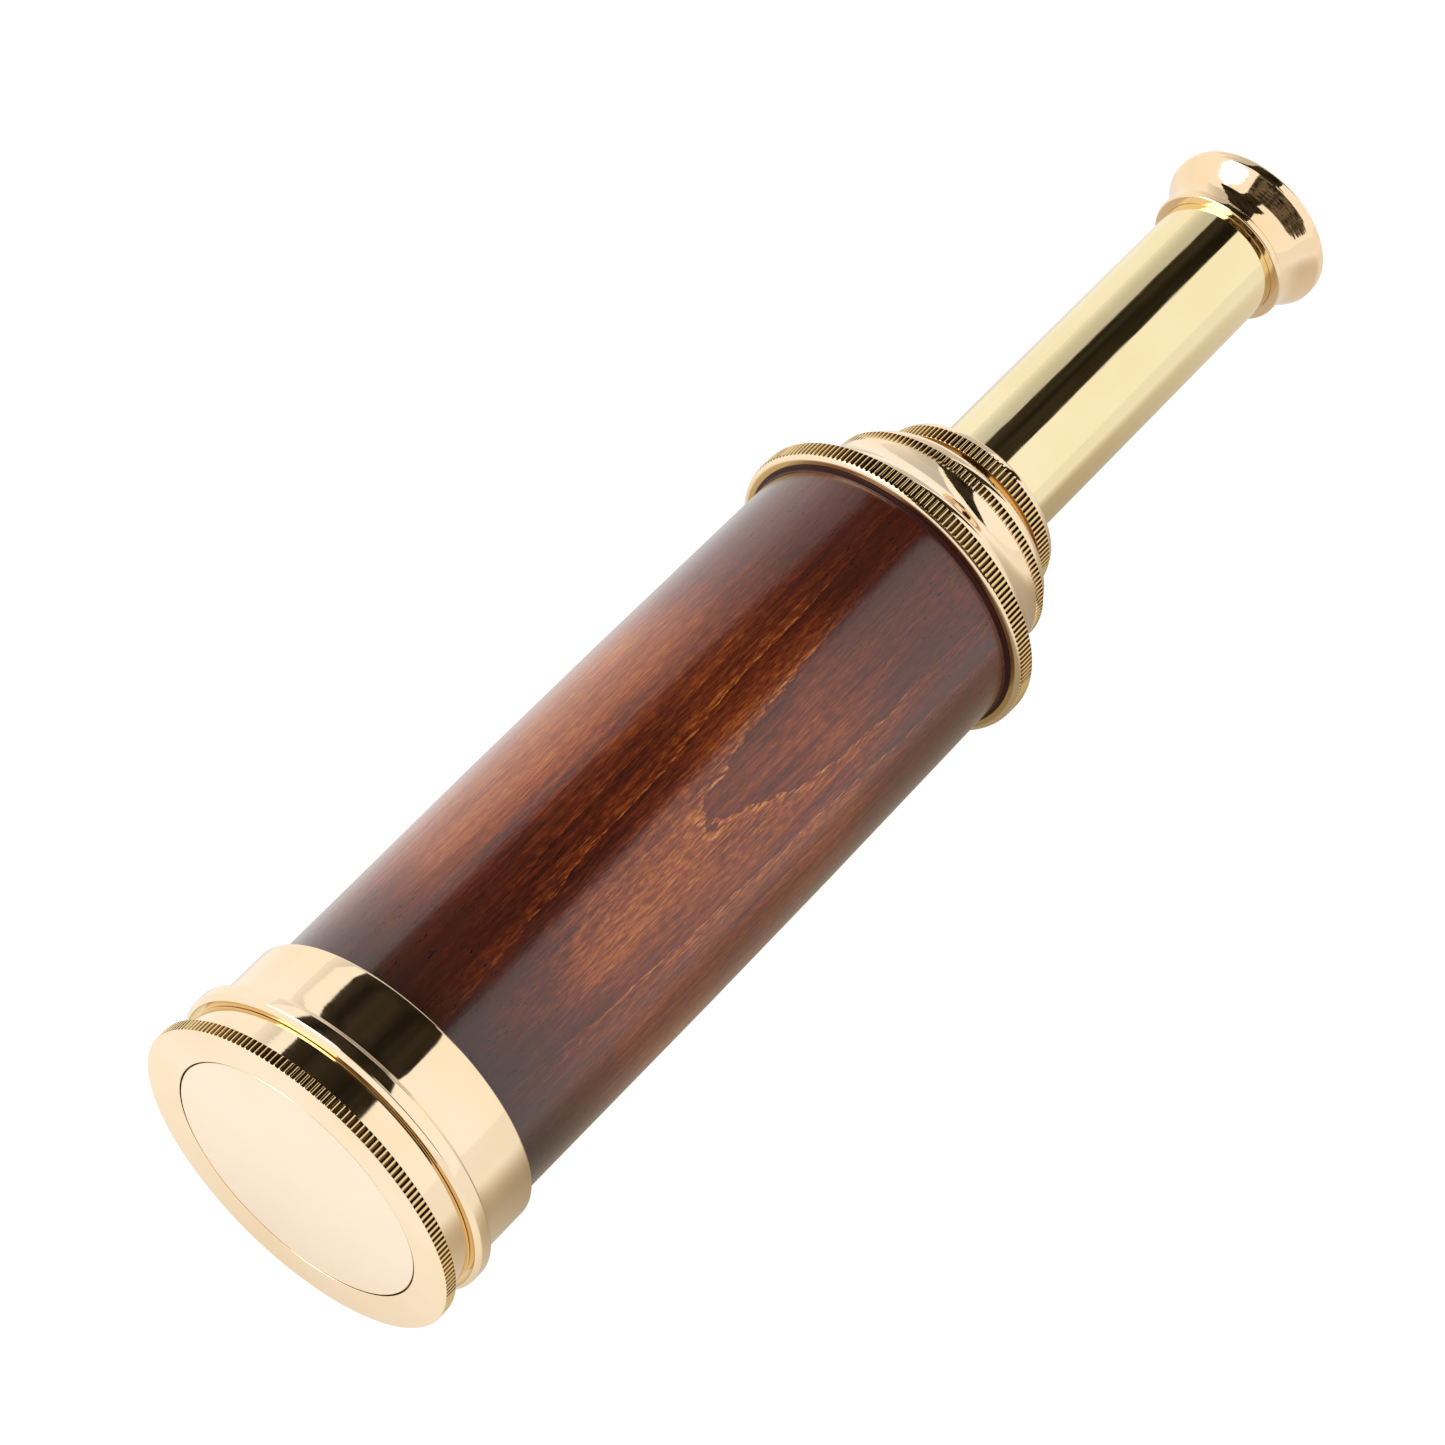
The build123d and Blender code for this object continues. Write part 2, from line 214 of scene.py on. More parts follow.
# Node graphs ------------------------------------------------------------------------------
class Graph:
    """A material's node tree, with short calls for the nodes used here."""

    def __init__(self, name):
        self.material = bpy.data.materials.new(name)
        self.material.use_nodes = True
        self.tree = self.material.node_tree
        self.shader = self.tree.nodes["Principled BSDF"]
        self.place = None

    def node(self, kind, inputs=None, output=0, **settings):
        """Adds a node, sets or links its inputs, and returns one of its output sockets."""
        node = self.tree.nodes.new("ShaderNode" + kind)
        for key, value in settings.items():
            setattr(node, key, value)
        for key, value in (inputs or {}).items():
            self.feed(node.inputs[key], value)
        return node.outputs[output]

    def feed(self, socket, value):
        """Links another node's output to a socket, or sets the socket's own value."""
        if isinstance(value, bpy.types.NodeSocket):
            self.tree.links.new(value, socket)
        else:
            socket.default_value = value

    def set(self, **values):
        """Sets or links the shader's own sockets: base_color feeds Base Color."""
        names = {socket.name.lower().replace(" ", "_"): socket for socket in self.shader.inputs}
        for key, value in values.items():
            self.feed(names[key], value)

    def position(self):
        """Place on the piece in millimetres, in the piece's own frame."""
        if self.place is None:
            self.place = self.node(
                "VectorMath", {0: self.node("TexCoord", output="Object"), 1: (1000, 1000, 1000)},
                operation="MULTIPLY",
            )
        return self.place

    def axes(self):
        """The position's coordinates, by the names X, Y and Z."""
        split = self.tree.nodes.new("ShaderNodeSeparateXYZ")
        self.feed(split.inputs[0], self.position())
        return split.outputs

    def math(self, operation, first, second=0.0, third=0.0):
        return self.node("Math", {0: first, 1: second, 2: third}, operation=operation)

    def sway(self, noise, size, value):
        """Value moved up and down by noise, by half of size each way at most."""
        return self.math("MULTIPLY_ADD", self.math("SUBTRACT", noise, 0.5), size, value)

    def noise(self, scale, shift=(0, 0, 0), detail=3.0, roughness=0.5):
        """Noise around 0.5, with its scale along each axis in cycles per millimetre."""
        place = self.node("Mapping", {"Vector": self.position(), "Scale": scale, "Location": shift})
        return self.node("TexNoise", {
            "Vector": place, "Scale": 1.0, "Detail": detail, "Roughness": roughness,
        })

    def remap(self, value, low, high, to_low=0.0, to_high=1.0, smooth=False):
        """Value taken from the range low to high to the range to_low to to_high, and held there."""
        return self.node("MapRange", {
            "Value": value, "From Min": low, "From Max": high, "To Min": to_low, "To Max": to_high,
        }, interpolation_type="SMOOTHSTEP" if smooth else "LINEAR")

    def mix(self, share, first, second):
        """Colour mix: first where share is 0, second where it is 1."""
        node = self.tree.nodes.new("ShaderNodeMix")
        node.data_type = "RGBA"
        self.feed(node.inputs[0], share)
        self.feed(node.inputs[6], first)
        self.feed(node.inputs[7], second)
        return node.outputs[2]

    def ramp(self, value, stops):
        """Colour ramp with (place, colour) stops."""
        node = self.tree.nodes.new("ShaderNodeValToRGB")
        self.feed(node.inputs[0], value)
        elements = node.color_ramp.elements
        while len(elements) < len(stops):
            elements.new(0.5)
        for element, (place, colour) in zip(elements, stops):
            element.position = place
            element.color = (*colour, 1.0)
        return node.outputs[0]

    def bump(self, height, distance, normal=None):
        """Relief of the given height in millimetres, on top of another normal if there is one."""
        inputs = {"Height": height, "Distance": distance * MM, "Strength": 1.0}
        if normal is not None:
            inputs["Normal"] = normal
        return self.node("Bump", inputs)

    def tarnish_and_shade(self):
        """How tarnished or shaded a point is: 0 on open surfaces, 1 at the bottom of a knurl's
        groove; gaps between parts carry painted shade.
        """
        return self.node("Attribute", output="Fac", attribute_name="tarnish_and_shade")


def rgb(red, green, blue):
    return (red, green, blue, 1.0)


# Brass ------------------------------------------------------------------------------------
def brass(name, tint, dark_tint, lines, polish=(0.04, 0.09)):
    """Polished brass: soft tint changes, smudges in the polish, tool or draw lines, tarnish in the
    knurls and painted shade in the gaps between parts.

    lines is (scale along x, y and z in cycles per millimetre, height in millimetres), and
    polish is the lowest and highest roughness.
    """
    graph = Graph(name)
    cloud = graph.noise((0.05, 0.05, 0.05))
    smudge = graph.noise((0.22, 0.12, 0.22), (7, 3, 5), detail=5.0, roughness=0.6)
    tinted = graph.mix(graph.remap(cloud, 0.35, 0.65), rgb(*tint), rgb(*dark_tint))
    # Golden, then brown: tarnish in the knurls, and painted shade in the gaps between parts.
    golden_tarnish_and_shade = graph.mix(graph.remap(graph.tarnish_and_shade(), 0.0, 0.45), tinted, rgb(0.70, 0.48, 0.17))
    brown_tarnish_and_shade = graph.remap(graph.tarnish_and_shade(), 0.35, 0.8, smooth=True)
    polished = graph.remap(smudge, 0.35, 0.7, *polish)
    line_scale, line_height = lines
    ripple = graph.noise((0.09, 0.09, 0.09), (2, 9, 4), detail=1.0)
    graph.set(
        base_color=graph.mix(brown_tarnish_and_shade, golden_tarnish_and_shade, rgb(0.150, 0.080, 0.026)), metallic=1.0,
        roughness=graph.math("MAXIMUM", polished, graph.math("MULTIPLY", brown_tarnish_and_shade, 0.4)),
        normal=graph.bump(
            graph.noise(line_scale, detail=2.0), line_height, normal=graph.bump(ripple, 0.05)),
    )
    return graph.material


def turning_lines(pitch_scale):
    """Scale that gives rings round the axis: almost only y changes the noise."""
    return (0.02, pitch_scale, 0.02)


def make_brass_materials():
    """Brass finishes by name: each has a tint and a darker tint that it drifts towards."""
    rose = (0.94, 0.755, 0.535), (0.92, 0.71, 0.45)
    warm = (0.93, 0.73, 0.50), (0.91, 0.68, 0.41)
    face = (0.94, 0.775, 0.585), (0.93, 0.76, 0.56)
    yellow = (0.90, 0.77, 0.48), (0.87, 0.73, 0.42)
    faint, satin = (0.14, 0.22), (0.25, 0.35)
    return {
        "turned": brass("polished_turned_brass", *rose, (turning_lines(2.2), 0.004)),
        "bell": brass("turned_bell_brass", *warm, (turning_lines(1.1), 0.03)),
        "face": brass("faced_sheet_brass", *face, ((0.35, 0.5, 2.6), 0.006), faint),
        "tube": brass("drawn_tube_brass", *yellow, ((3.5, 0.03, 3.5), 0.004)),
        "inner": brass("satin_turned_brass", *yellow, (turning_lines(4.0), 0.02), satin),
    }


# Wood -------------------------------------------------------------------------------------
def growth_rings(graph, jagged):
    """How old the wood is within its ring, from 0 to 1, and a mask of the arched rings.

    The rings are sheets across the bark's direction that lean a little against the axis, so
    the barrel cuts them into long arches, one of which has its top at arch_top.
    """
    axes = graph.axes()
    bark_side = math.radians(40)
    lean, ring_gap, arch_top = 0.019, 2.4, 76.0
    depth = graph.math("MULTIPLY", axes["X"], math.sin(bark_side))
    depth = graph.math("MULTIPLY_ADD", axes["Z"], math.cos(bark_side), depth)
    depth = graph.math("MULTIPLY_ADD", axes["Y"], lean, depth)
    depth = graph.math("ADD", depth, graph.remap(axes["Y"], 82, 122, 0.0, 0.55, smooth=True))
    wander = graph.noise((0.12, 0.035, 0.12), (5, 2, 1), detail=2.0)
    depth = graph.sway(jagged, 0.45, graph.sway(wander, 1.3, depth))
    from_arch = graph.math("SUBTRACT", depth, WOOD_R + lean * arch_top)
    age = graph.math("FRACT", graph.math("DIVIDE", from_arch, ring_gap))
    return age, graph.remap(from_arch, -6.0, -3.0)


def grain_tone(graph, fibres, flecks, blotch, jagged, end_shade):
    """Lightness of the grain: fibres, blotches, flecks that crowd in late wood, ring edges."""
    age, in_arches = growth_rings(graph, jagged)
    late = graph.math("MULTIPLY", graph.math("POWER", age, 2.0), in_arches)
    fleck_share = graph.math("MULTIPLY_ADD", late, 0.40, 0.28)
    tone = graph.math("MULTIPLY", graph.remap(flecks, 0.40, 0.72), fleck_share)
    tone = graph.sway(blotch, 0.7, graph.sway(fibres, 1.05, tone))
    early = graph.math("MULTIPLY", graph.remap(age, 0.0, 0.6, -0.10, 0.03), in_arches)
    tone = graph.math("ADD", tone, early)
    edge = graph.math("MULTIPLY", graph.remap(age, 0.93, 0.98, smooth=True), in_arches)
    edge = graph.math("MULTIPLY", edge, graph.remap(end_shade, 0.3, 1.0, 1.0, 0.15))
    return graph.math("MULTIPLY_ADD", edge, graph.remap(flecks, 0.40, 0.6, 0.0, 0.30), tone)


def painted_side_light(graph, along):
    """Painted light round the barrel: the stain is lighter on the upper left, where the key light
    falls, and on the right, beside a darker strip along the top.
    """
    axes = graph.axes()
    around = graph.math("ARCTAN2", axes["X"], axes["Z"])

    def band(start, end, at_start, at_end):
        start, end = math.radians(start), math.radians(end)
        return graph.remap(around, start, end, at_start, at_end, smooth=True)

    left = graph.math(
        "MULTIPLY", band(-22, 2, 0.34, -0.04), graph.remap(along, 92, 118, 1.0, 0.2, smooth=True))
    left = graph.math("MULTIPLY", left, band(-110, -60, 0.2, 1.0))
    return graph.math("ADD", left, band(18, 50, -0.04, 0.06))


def stain_colour(graph, tone, end_shade, along, on_bead):
    """Red-brown stain: darker at both ends, near black at the ferrule and on the rear bead."""
    stain = graph.ramp(graph.remap(tone, -0.25, 0.95), [
        (0.0, (0.038, 0.006, 0.002)),
        (0.22, (0.115, 0.017, 0.003)),
        (0.42, (0.225, 0.042, 0.005)),
        (0.62, (0.350, 0.094, 0.013)),
        (1.0, (0.580, 0.240, 0.060)),
    ])
    stain = graph.mix(graph.math("MULTIPLY", end_shade, 0.55), stain, rgb(0.080, 0.013, 0.005))
    # Near black towards the front ferrule, fading out between y 22 and 40 mm.
    near_ferrule = graph.remap(along, 22, 40, 0.75, 0.0, smooth=True)
    stain = graph.mix(near_ferrule, stain, rgb(0.024, 0.009, 0.005))
    return graph.mix(on_bead, stain, rgb(0.028, 0.005, 0.003))


def wood_material():
    """Stained and lacquered hardwood: growth rings cut into long arches, with short flecks."""
    graph = Graph("stained_lacquered_wood")
    along = graph.axes()["Y"]
    fibres = graph.noise((1.4, 0.045, 1.4), (1, 7, 3), detail=5.0, roughness=0.7)
    flecks = graph.noise((3.2, 0.42, 3.2), (2, 5, 9), roughness=0.6)
    blotch = graph.noise((0.07, 0.03, 0.07), (3, 6, 1))
    jagged = graph.noise((0.7, 0.35, 0.7), detail=2.0)
    pores = graph.noise((3.8, 0.8, 3.8), (9, 2, 6), detail=2.0)
    orange_peel = graph.noise((0.5, 0.35, 0.5), (8, 8, 2))

    uneven_along = graph.sway(blotch, 12.0, along)
    front_shade = graph.remap(uneven_along, 33, 55, 1.0, 0.0, smooth=True)
    rear_shade = graph.remap(uneven_along, 102, 134, smooth=True)
    end_shade = graph.math("ADD", front_shade, rear_shade)
    tone = grain_tone(graph, fibres, flecks, blotch, jagged, end_shade)
    # Painted light: lighter stain on the sides of the barrel.
    tone = graph.math("ADD", tone, painted_side_light(graph, uneven_along))
    tone = graph.math("MULTIPLY_ADD", end_shade, -0.20, tone)

    wood_end = extent("wood_barrel")[1]
    on_bead = graph.remap(along, wood_end - 1.75, wood_end - 1.45)
    stain = stain_colour(graph, tone, end_shade, uneven_along, on_bead)
    open_pores = graph.math("MULTIPLY", graph.remap(pores, 0.60, 0.64), end_shade)
    open_pores = graph.math("MULTIPLY", open_pores, graph.remap(jagged, 0.52, 0.60))
    graph.set(
        base_color=graph.mix(open_pores, stain, rgb(0.006, 0.003, 0.002)),
        metallic=graph.remap(on_bead, 0.0, 1.0, 0.45, 0.0),
        roughness=graph.remap(fibres, 0.3, 0.7, 0.34, 0.46), specular_ior_level=0.1,
        coat_weight=graph.remap(on_bead, 0.0, 1.0, 1.0, 0.05), coat_roughness=0.17, coat_ior=1.6,
        normal=graph.bump(graph.math("SUBTRACT", fibres, open_pores), 0.03),
        coat_normal=graph.bump(graph.math("MULTIPLY_ADD", fibres, 0.35, orange_peel), 0.022),
    )
    return graph.material


# Small materials --------------------------------------------------------------------------
def between(graph, noise, colour, other_colour):
    """Colour that follows the noise from one colour to another."""
    return graph.mix(graph.remap(noise, 0.3, 0.7), rgb(*colour), rgb(*other_colour))


def glass_material(name, colour, roughness, grain):
    """Clear, ground or coloured glass; grain is the ripple's height in millimetres."""
    graph = Graph(name)
    ripple = graph.noise((0.8, 0.8, 0.8), detail=4.0)
    graph.set(
        base_color=between(graph, ripple, colour, [part * 0.9 for part in colour]),
        roughness=graph.remap(ripple, 0.3, 0.7, roughness * 0.8, roughness * 1.2 + 0.01),
        transmission_weight=1.0, ior=1.5, normal=graph.bump(ripple, grain),
    )
    return graph.material


def matt_material(name, colour, light_colour, scale, relief, roughness=0.8):
    """Board, felt, foam or blackened metal: fine uneven colour over a small relief."""
    graph = Graph(name)
    grain = graph.noise((scale, scale, scale), detail=5.0, roughness=0.65)
    graph.set(
        base_color=between(graph, grain, colour, light_colour),
        roughness=graph.remap(grain, 0.3, 0.7, roughness - 0.1, roughness + 0.1),
        normal=graph.bump(grain, relief),
    )
    return graph.material


def metal_material(name, colour, roughness, scale):
    """Bright white metal or silvering with a faint uneven polish."""
    graph = Graph(name)
    lines = graph.noise(scale, detail=4.0)
    graph.set(
        base_color=between(graph, lines, colour, [part * 0.88 for part in colour]), metallic=1.0,
        roughness=graph.remap(lines, 0.3, 0.7, roughness * 0.7, roughness * 1.3),
        normal=graph.bump(lines, 0.004),
    )
    return graph.material


# Outer pieces -----------------------------------------------------------------------------
def dust_cap(brasses):
    start, end, outer = extent("cap_ring")
    disc_r, seat_r, disc_thickness = 23.5, 22.0, 0.8
    disc_edge_r = disc_r - 0.22
    skirt_r, spigot_r, bore_r = 28.1, 27.2, 26.0
    flange_end, web, shoulder = 2.2, 1.6, 7.55
    ring = turned("cap_ring_knurled", [
        (seat_r, disc_thickness), (disc_r, disc_thickness), (disc_r, start, 0.15),
        (outer, start, 0.15), (outer, flange_end, 0.15), (skirt_r, flange_end, 0.15),
        (skirt_r, shoulder, 0.2), (spigot_r, shoulder), (spigot_r, end, 0.3), (bore_r, end, 0.2),
        (bore_r, web, 0.4), (seat_r, web),
    ], knurl=(189, start + 0.04, flange_end - 0.04, outer, 0.45), longest=6.0,
        # Painted shade on the ledge in the seam round the disc.
        painted_gap_shade=(disc_r - 2, disc_r + 0.05, start + 0.2, disc_thickness + 0.1, 1.0))
    disc = turned("cap_disc_faced", [
        (0, start), (disc_edge_r, start, 0.3), (disc_edge_r, disc_thickness, 0.05),
        (0, disc_thickness),
    # Painted shade on the disc's edge in that seam.
    ], painted_gap_shade=(disc_r - 0.3, disc_r, start + 0.25, disc_thickness + 0.1, 1.0))
    return [
        (ring, "cap_ring", "dust_cap", brasses["turned"]),
        (disc, "cap_disc", "dust_cap", brasses["face"]),
    ]


def front_ferrule(brasses):
    start, end, _ = extent("front_ferrule")
    wood_start = extent("wood_barrel")[0]
    mouth_r, sleeve_r, face_r, bead_r = 27.25, 28.0, 29.1, 29.85
    piece = turned("front_ferrule_beaded", [
        (mouth_r, start, 0.2), (face_r, start, 0.2), (bead_r, start + 0.75, 0.4),
        (bead_r, start + 2.9, 0.5), (sleeve_r, start + 3.9, 0.3),
        (sleeve_r, end, 0.5), (WOOD_END_R, end), (WOOD_END_R, wood_start), (mouth_r, wood_start),
    # Painted golden shade on the front face round the mouth, in the gap to the cap.
    ], painted_gap_shade=(sleeve_r - 0.5, face_r - 0.05, start - 0.1, start + 0.12, 0.5))
    return [(piece, "front_ferrule", "barrel", brasses["turned"])]


def barrel(material):
    start, end, bead_r = extent("wood_barrel")
    ferrule_end = extent("front_ferrule")[1]
    ring_start = extent("barrel_end_ring")[0]
    swell_start, swell_end = 70, 100
    piece = turned("wood_barrel_turned", [
        (BARREL_BORE_R, start), (WOOD_END_R, start), (WOOD_END_R, ferrule_end),
        (WOOD_R, swell_start), (WOOD_R, swell_end), (WOOD_END_R, ring_start - 0.55, 0.4),
        (bead_r, ring_start - 0.2, 0.2), (bead_r, ring_start), (WOOD_END_R, ring_start),
        (WOOD_END_R, end), (BARREL_BORE_R, end),
    ])
    return [(piece, "wood_barrel", "barrel", material)]


def barrel_end_ring(brasses):
    start, end, outer = extent("barrel_end_ring")
    wood_end = extent("wood_barrel")[1]
    lip_r = WOOD_END_R + 0.2
    piece = turned("barrel_end_ring_knurled", [
        (lip_r, start, 0.2), (outer, start, 1.1), (outer, end, 0.2),
        (BARREL_BORE_R, end), (BARREL_BORE_R, wood_end), (lip_r, wood_end),
    ], knurl=(180, start + 0.6, end - 0.04, outer, 0.5), longest=0.8,
        # Painted shade on the lip's front face, where the wood meets the ring.
        painted_gap_shade=(lip_r - 0.1, outer - 1.0, start - 0.1, start + 0.3, 0.40))
    return [(piece, "barrel_end_ring", "barrel", brasses["turned"])]


def shoulder_dome(brasses):
    """Domed step from the barrel down to the guide collar, with a hollow behind its rim."""
    start, top, base_r = extent("shoulder_dome")
    seat = extent("barrel_end_ring")[1]
    rim_start, rim_end, rim_r = 158.7, 160.8, 22.2
    hollow_y = 155.7
    step_r = rim_r - 0.8
    spigot_bore_r, inner_start, inner_r = BARREL_BORE_R - 2.0, 152.6, 18.8
    roof = top - 3.2
    piece = turned("shoulder_dome_knurled", [
        (spigot_bore_r, start), (BARREL_BORE_R, start), (BARREL_BORE_R, seat, 0.05),
        (base_r, seat, 0.05), (base_r, seat + 2.7, 2.5), (rim_r + 0.3, hollow_y, 9.0),
        (rim_r, rim_start, 0.1), (rim_r, rim_end, 0.1), (step_r, rim_end, 0.1),
        (step_r, top, 3.4), (COLLAR_SLEEVE_R, top),
        (COLLAR_SLEEVE_R, roof), (inner_r, roof, 1.0), (spigot_bore_r, inner_start, 1.0),
    ], knurl=(147, rim_start + 0.04, rim_end - 0.04, rim_r, 0.5), longest=1.0)
    return [(piece, "shoulder_dome", "barrel", brasses["turned"])]


def guide_collar(brasses):
    start, top, outer = extent("guide_collar")
    neck_r, lip_outer_r, lip_bore_r = 15.2, 15.6, 11.8
    knurl_start, knurl_end = 166.6, top - 2.0
    sleeve_end = 166.0
    piece = turned("guide_collar_knurled", [
        (COLLAR_SLEEVE_R, start), (neck_r, start), (neck_r, knurl_start, 0.3),
        (outer, knurl_start, 0.2), (outer, knurl_end, 0.4),
        (outer - 0.6, top - 0.6, 0.8), (lip_outer_r, top, 0.5),
        (lip_bore_r, top, 0.2), (lip_bore_r, sleeve_end), (COLLAR_SLEEVE_R, sleeve_end),
    ], knurl=(110, knurl_start + 0.04, knurl_end, outer, 0.5), longest=1.0,
        # Painted shade on the neck under the knurl.
        painted_gap_shade=(COLLAR_SLEEVE_R, neck_r + 0.1, start, knurl_start - 0.4, 0.66))
    return [(piece, "guide_collar", "barrel", brasses["turned"])]


def draw_tube(brasses):
    start, end, outer = extent("draw_tube")
    bore_r = outer - 0.8
    groove_start, groove_end, groove_r = 140.4, 141.6, 11.1
    piece = turned("draw_tube_polished", [
        (bore_r, start, 0.1), (outer, start, 0.1), (outer, groove_start), (groove_r, groove_start),
        (groove_r, groove_end), (outer, groove_end), (outer, end), (bore_r, end),
    ], longest=4.0)
    return [(piece, "draw_tube", "draw_tube", brasses["tube"])]


def eyepiece_cup(brasses):
    """Cup that flares from a bead on the draw tube to a rim round the eye hole's hollow."""
    start, end, _ = extent("eyepiece_cup")
    _, tube_end, tube_r = extent("draw_tube")
    bead_r, neck_r, rim_r, eye_r = 13.2, 12.9, 15.85, 6.5
    neck_end = 246.4
    hollow_r, hollow_edge, hollow_floor = 12.4, 249.2, 248.4
    piece = turned("eyepiece_cup_flared", [
        (tube_r, start, 0.15), (bead_r, start, 0.4), (bead_r, start + 1.2, 0.4),
        (neck_r, start + 1.5, 0.2), (neck_r, neck_end, 5.0), (rim_r, end - 1.9, 0.7),
        (rim_r, end, 0.6), (rim_r - 1.1, end, 0.4), (hollow_r, hollow_edge, 1.6),
        (eye_r, hollow_floor, 0.4), (eye_r, tube_end, 0.1), (tube_r, tube_end),
    ], longest=0.6)
    return [(piece, "eyepiece_cup", "draw_tube", brasses["bell"])]


def thumb_ring(brasses):
    """The object cell's ring, with the knurl that a thumb turns once the cap is off."""
    start, end, outer = extent("cell_ring")
    bore_r, seat, spigot_bore_r = 22.0, 12.2, 19.4
    ring_end, spigot_r = 13.5, 21.45
    groove_start, groove_end, groove_r = 22.2, 23.2, 20.9
    piece = turned("cell_ring_knurled", [
        (bore_r, start, 0.2), (outer, start, 0.6), (outer, ring_end, 0.4), (spigot_r, ring_end),
        (spigot_r, groove_start), (groove_r, groove_start), (groove_r, groove_end),
        (spigot_r, groove_end), (spigot_r, end), (spigot_bore_r, end),
        (spigot_bore_r, seat), (bore_r, seat),
    ], knurl=(161, start + 0.9, ring_end - 0.6, outer, 0.45), longest=3.0)
    return [(piece, "cell_ring", "object_cell", brasses["inner"])]


def inner_materials(brasses):
    """Materials of the pieces whose CAD shape stays, by node."""
    board = matt_material("black_board", (0.012, 0.011, 0.010), (0.03, 0.028, 0.026), 1.5, 0.05, 0.85)
    black = matt_material("matt_black", (0.010, 0.010, 0.011), (0.022, 0.022, 0.024), 3.0, 0.02, 0.6)
    steel = metal_material("spring_steel", (0.56, 0.56, 0.58), 0.22, (2.0, 2.0, 2.0))
    mirror = metal_material("mirror_strip", (0.93, 0.94, 0.95), 0.03, (0.2, 0.05, 0.2))
    clear = glass_material("clear_glass", (0.96, 0.98, 0.97), 0.02, 0.001)
    frosted = glass_material("frosted_glass", (0.93, 0.95, 0.95), 0.45, 0.02)
    foam = matt_material("grey_foam", (0.05, 0.05, 0.055), (0.12, 0.12, 0.125), 2.5, 0.3)
    felt = matt_material("green_felt", (0.02, 0.07, 0.04), (0.05, 0.13, 0.08), 4.0, 0.15)
    materials = {
        "cell_retaining_ring": brasses["inner"], "cell_bearing_bush": brasses["inner"],
        "guide_sleeve": brasses["inner"], "cell_snap_ring": steel, "tube_stop_ring": steel,
        "mirror_front_support": board, "mirror_rear_support": board, "mirror_tube": board,
        "cell_spacer_ring": black, "eye_lens_retainer": black, "eye_stop": black,
        "mirror_top": mirror, "mirror_left": mirror, "mirror_right": mirror,
        "mirror_packing": foam, "friction_felt": felt,
        "cell_frosted_glass": frosted, "cell_clear_glass": clear, "eye_lens": clear,
    }
    chip_colours = {
        "red": (0.80, 0.03, 0.04), "amber": (0.95, 0.48, 0.03), "green": (0.04, 0.58, 0.18),
        "blue": (0.04, 0.16, 0.80), "violet": (0.42, 0.06, 0.66),
    }
    for name, colour in chip_colours.items():
        materials["glass_chips_" + name] = glass_material(name + "_glass", colour, 0.05, 0.01)
    return materials


# Studio -----------------------------------------------------------------------------------
AIM = Vector((-0.0038, 0.1084, 0.0))
AZIMUTH, ELEVATION, DISTANCE = 38.47, 52.40, 0.7773
LENS_MM, SENSOR_MM = 119.58, 36.0


def towards_camera():
    turn, rise = math.radians(AZIMUTH), math.radians(ELEVATION)
    across, back = math.sin(turn) * math.cos(rise), math.cos(turn) * math.cos(rise)
    return Vector((across, -back, math.sin(rise)))


def make_camera():
    lens = bpy.data.cameras.new("camera")
    lens.lens = LENS_MM
    lens.sensor_width = SENSOR_MM
    lens.clip_start = 0.01
    camera = bpy.data.objects.new("camera", lens)
    camera.location = AIM + towards_camera() * DISTANCE
    camera.rotation_euler = (-towards_camera()).to_track_quat("-Z", "Y").to_euler()
    bpy.context.scene.collection.objects.link(camera)
    bpy.context.scene.camera = camera


def glow(graph, colour, strength, base=0.0):
    """Makes a matt surface that glows and mirrors nothing."""
    graph.set(
        base_color=rgb(base, base, base), roughness=1.0, specular_ior_level=0.0,
        emission_color=colour, emission_strength=strength,
    )
    return graph.material


def glowing_material(name, colour, low, high, base=0.0, scale=0.02):
    """Surface with a soft uneven glow, for the floor and the studio's cards."""
    graph = Graph(name)
    cloud = graph.noise((scale, scale, scale), detail=4.0)
    return glow(graph, rgb(*colour), graph.remap(cloud, 0.35, 0.65, low, high), base)


def fading_material(name, axis, start, end, start_glow, end_glow):
    """Card whose glow changes steadily along one axis, between two places in millimetres."""
    graph = Graph(name)
    strength = graph.remap(graph.axes()[axis], start, end, start_glow, end_glow, smooth=True)
    return glow(graph, rgb(1, 1, 1), strength)


def ground_shade_material():
    """Floor as the brass mirrors it: a painted shadow beside the barrel, warmed as a painted
    reflection of the barrel, and a little dimmer to the right.
    """
    graph = Graph("ground_reflection")
    axes = graph.axes()
    shade = graph.remap(axes["Y"], -20, 45, smooth=True)
    for axis, bright, dim in (("Y", 350, 150), ("X", -90, -5), ("X", 110, 45)):
        shade = graph.math("MULTIPLY", shade, graph.remap(axes[axis], bright, dim, smooth=True))
    open_floor = graph.remap(axes["X"], 40, 120, 1.06, 0.97)
    strength = graph.math("ADD", open_floor, graph.math("MULTIPLY", shade, -0.68))
    return glow(graph, graph.mix(shade, rgb(1, 1, 1), rgb(1.0, 0.86, 0.66)), strength)


def square(half, height):
    """Corners of a level square about the origin."""
    return [
        (-half, -half, height), (half, -half, height), (half, half, height), (-half, half, height),
    ]


def make_floor():
    """Pale floor under the part, and just above it the floor that only reflections see."""
    low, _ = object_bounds()
    half, height = 3.0, low[2]
    mesh = bpy.data.meshes.new("floor")
    mesh.from_pydata(square(half, height), [], [(0, 1, 2, 3)])
    mesh.materials.append(glowing_material("pale_floor", (1, 1, 1), 0.98, 0.98, base=0.06))
    floor = bpy.data.objects.new("floor", mesh)
    bpy.context.scene.collection.objects.link(floor)
    make_card("ground_reflection", square(half, height + 0.0002), ground_shade_material())


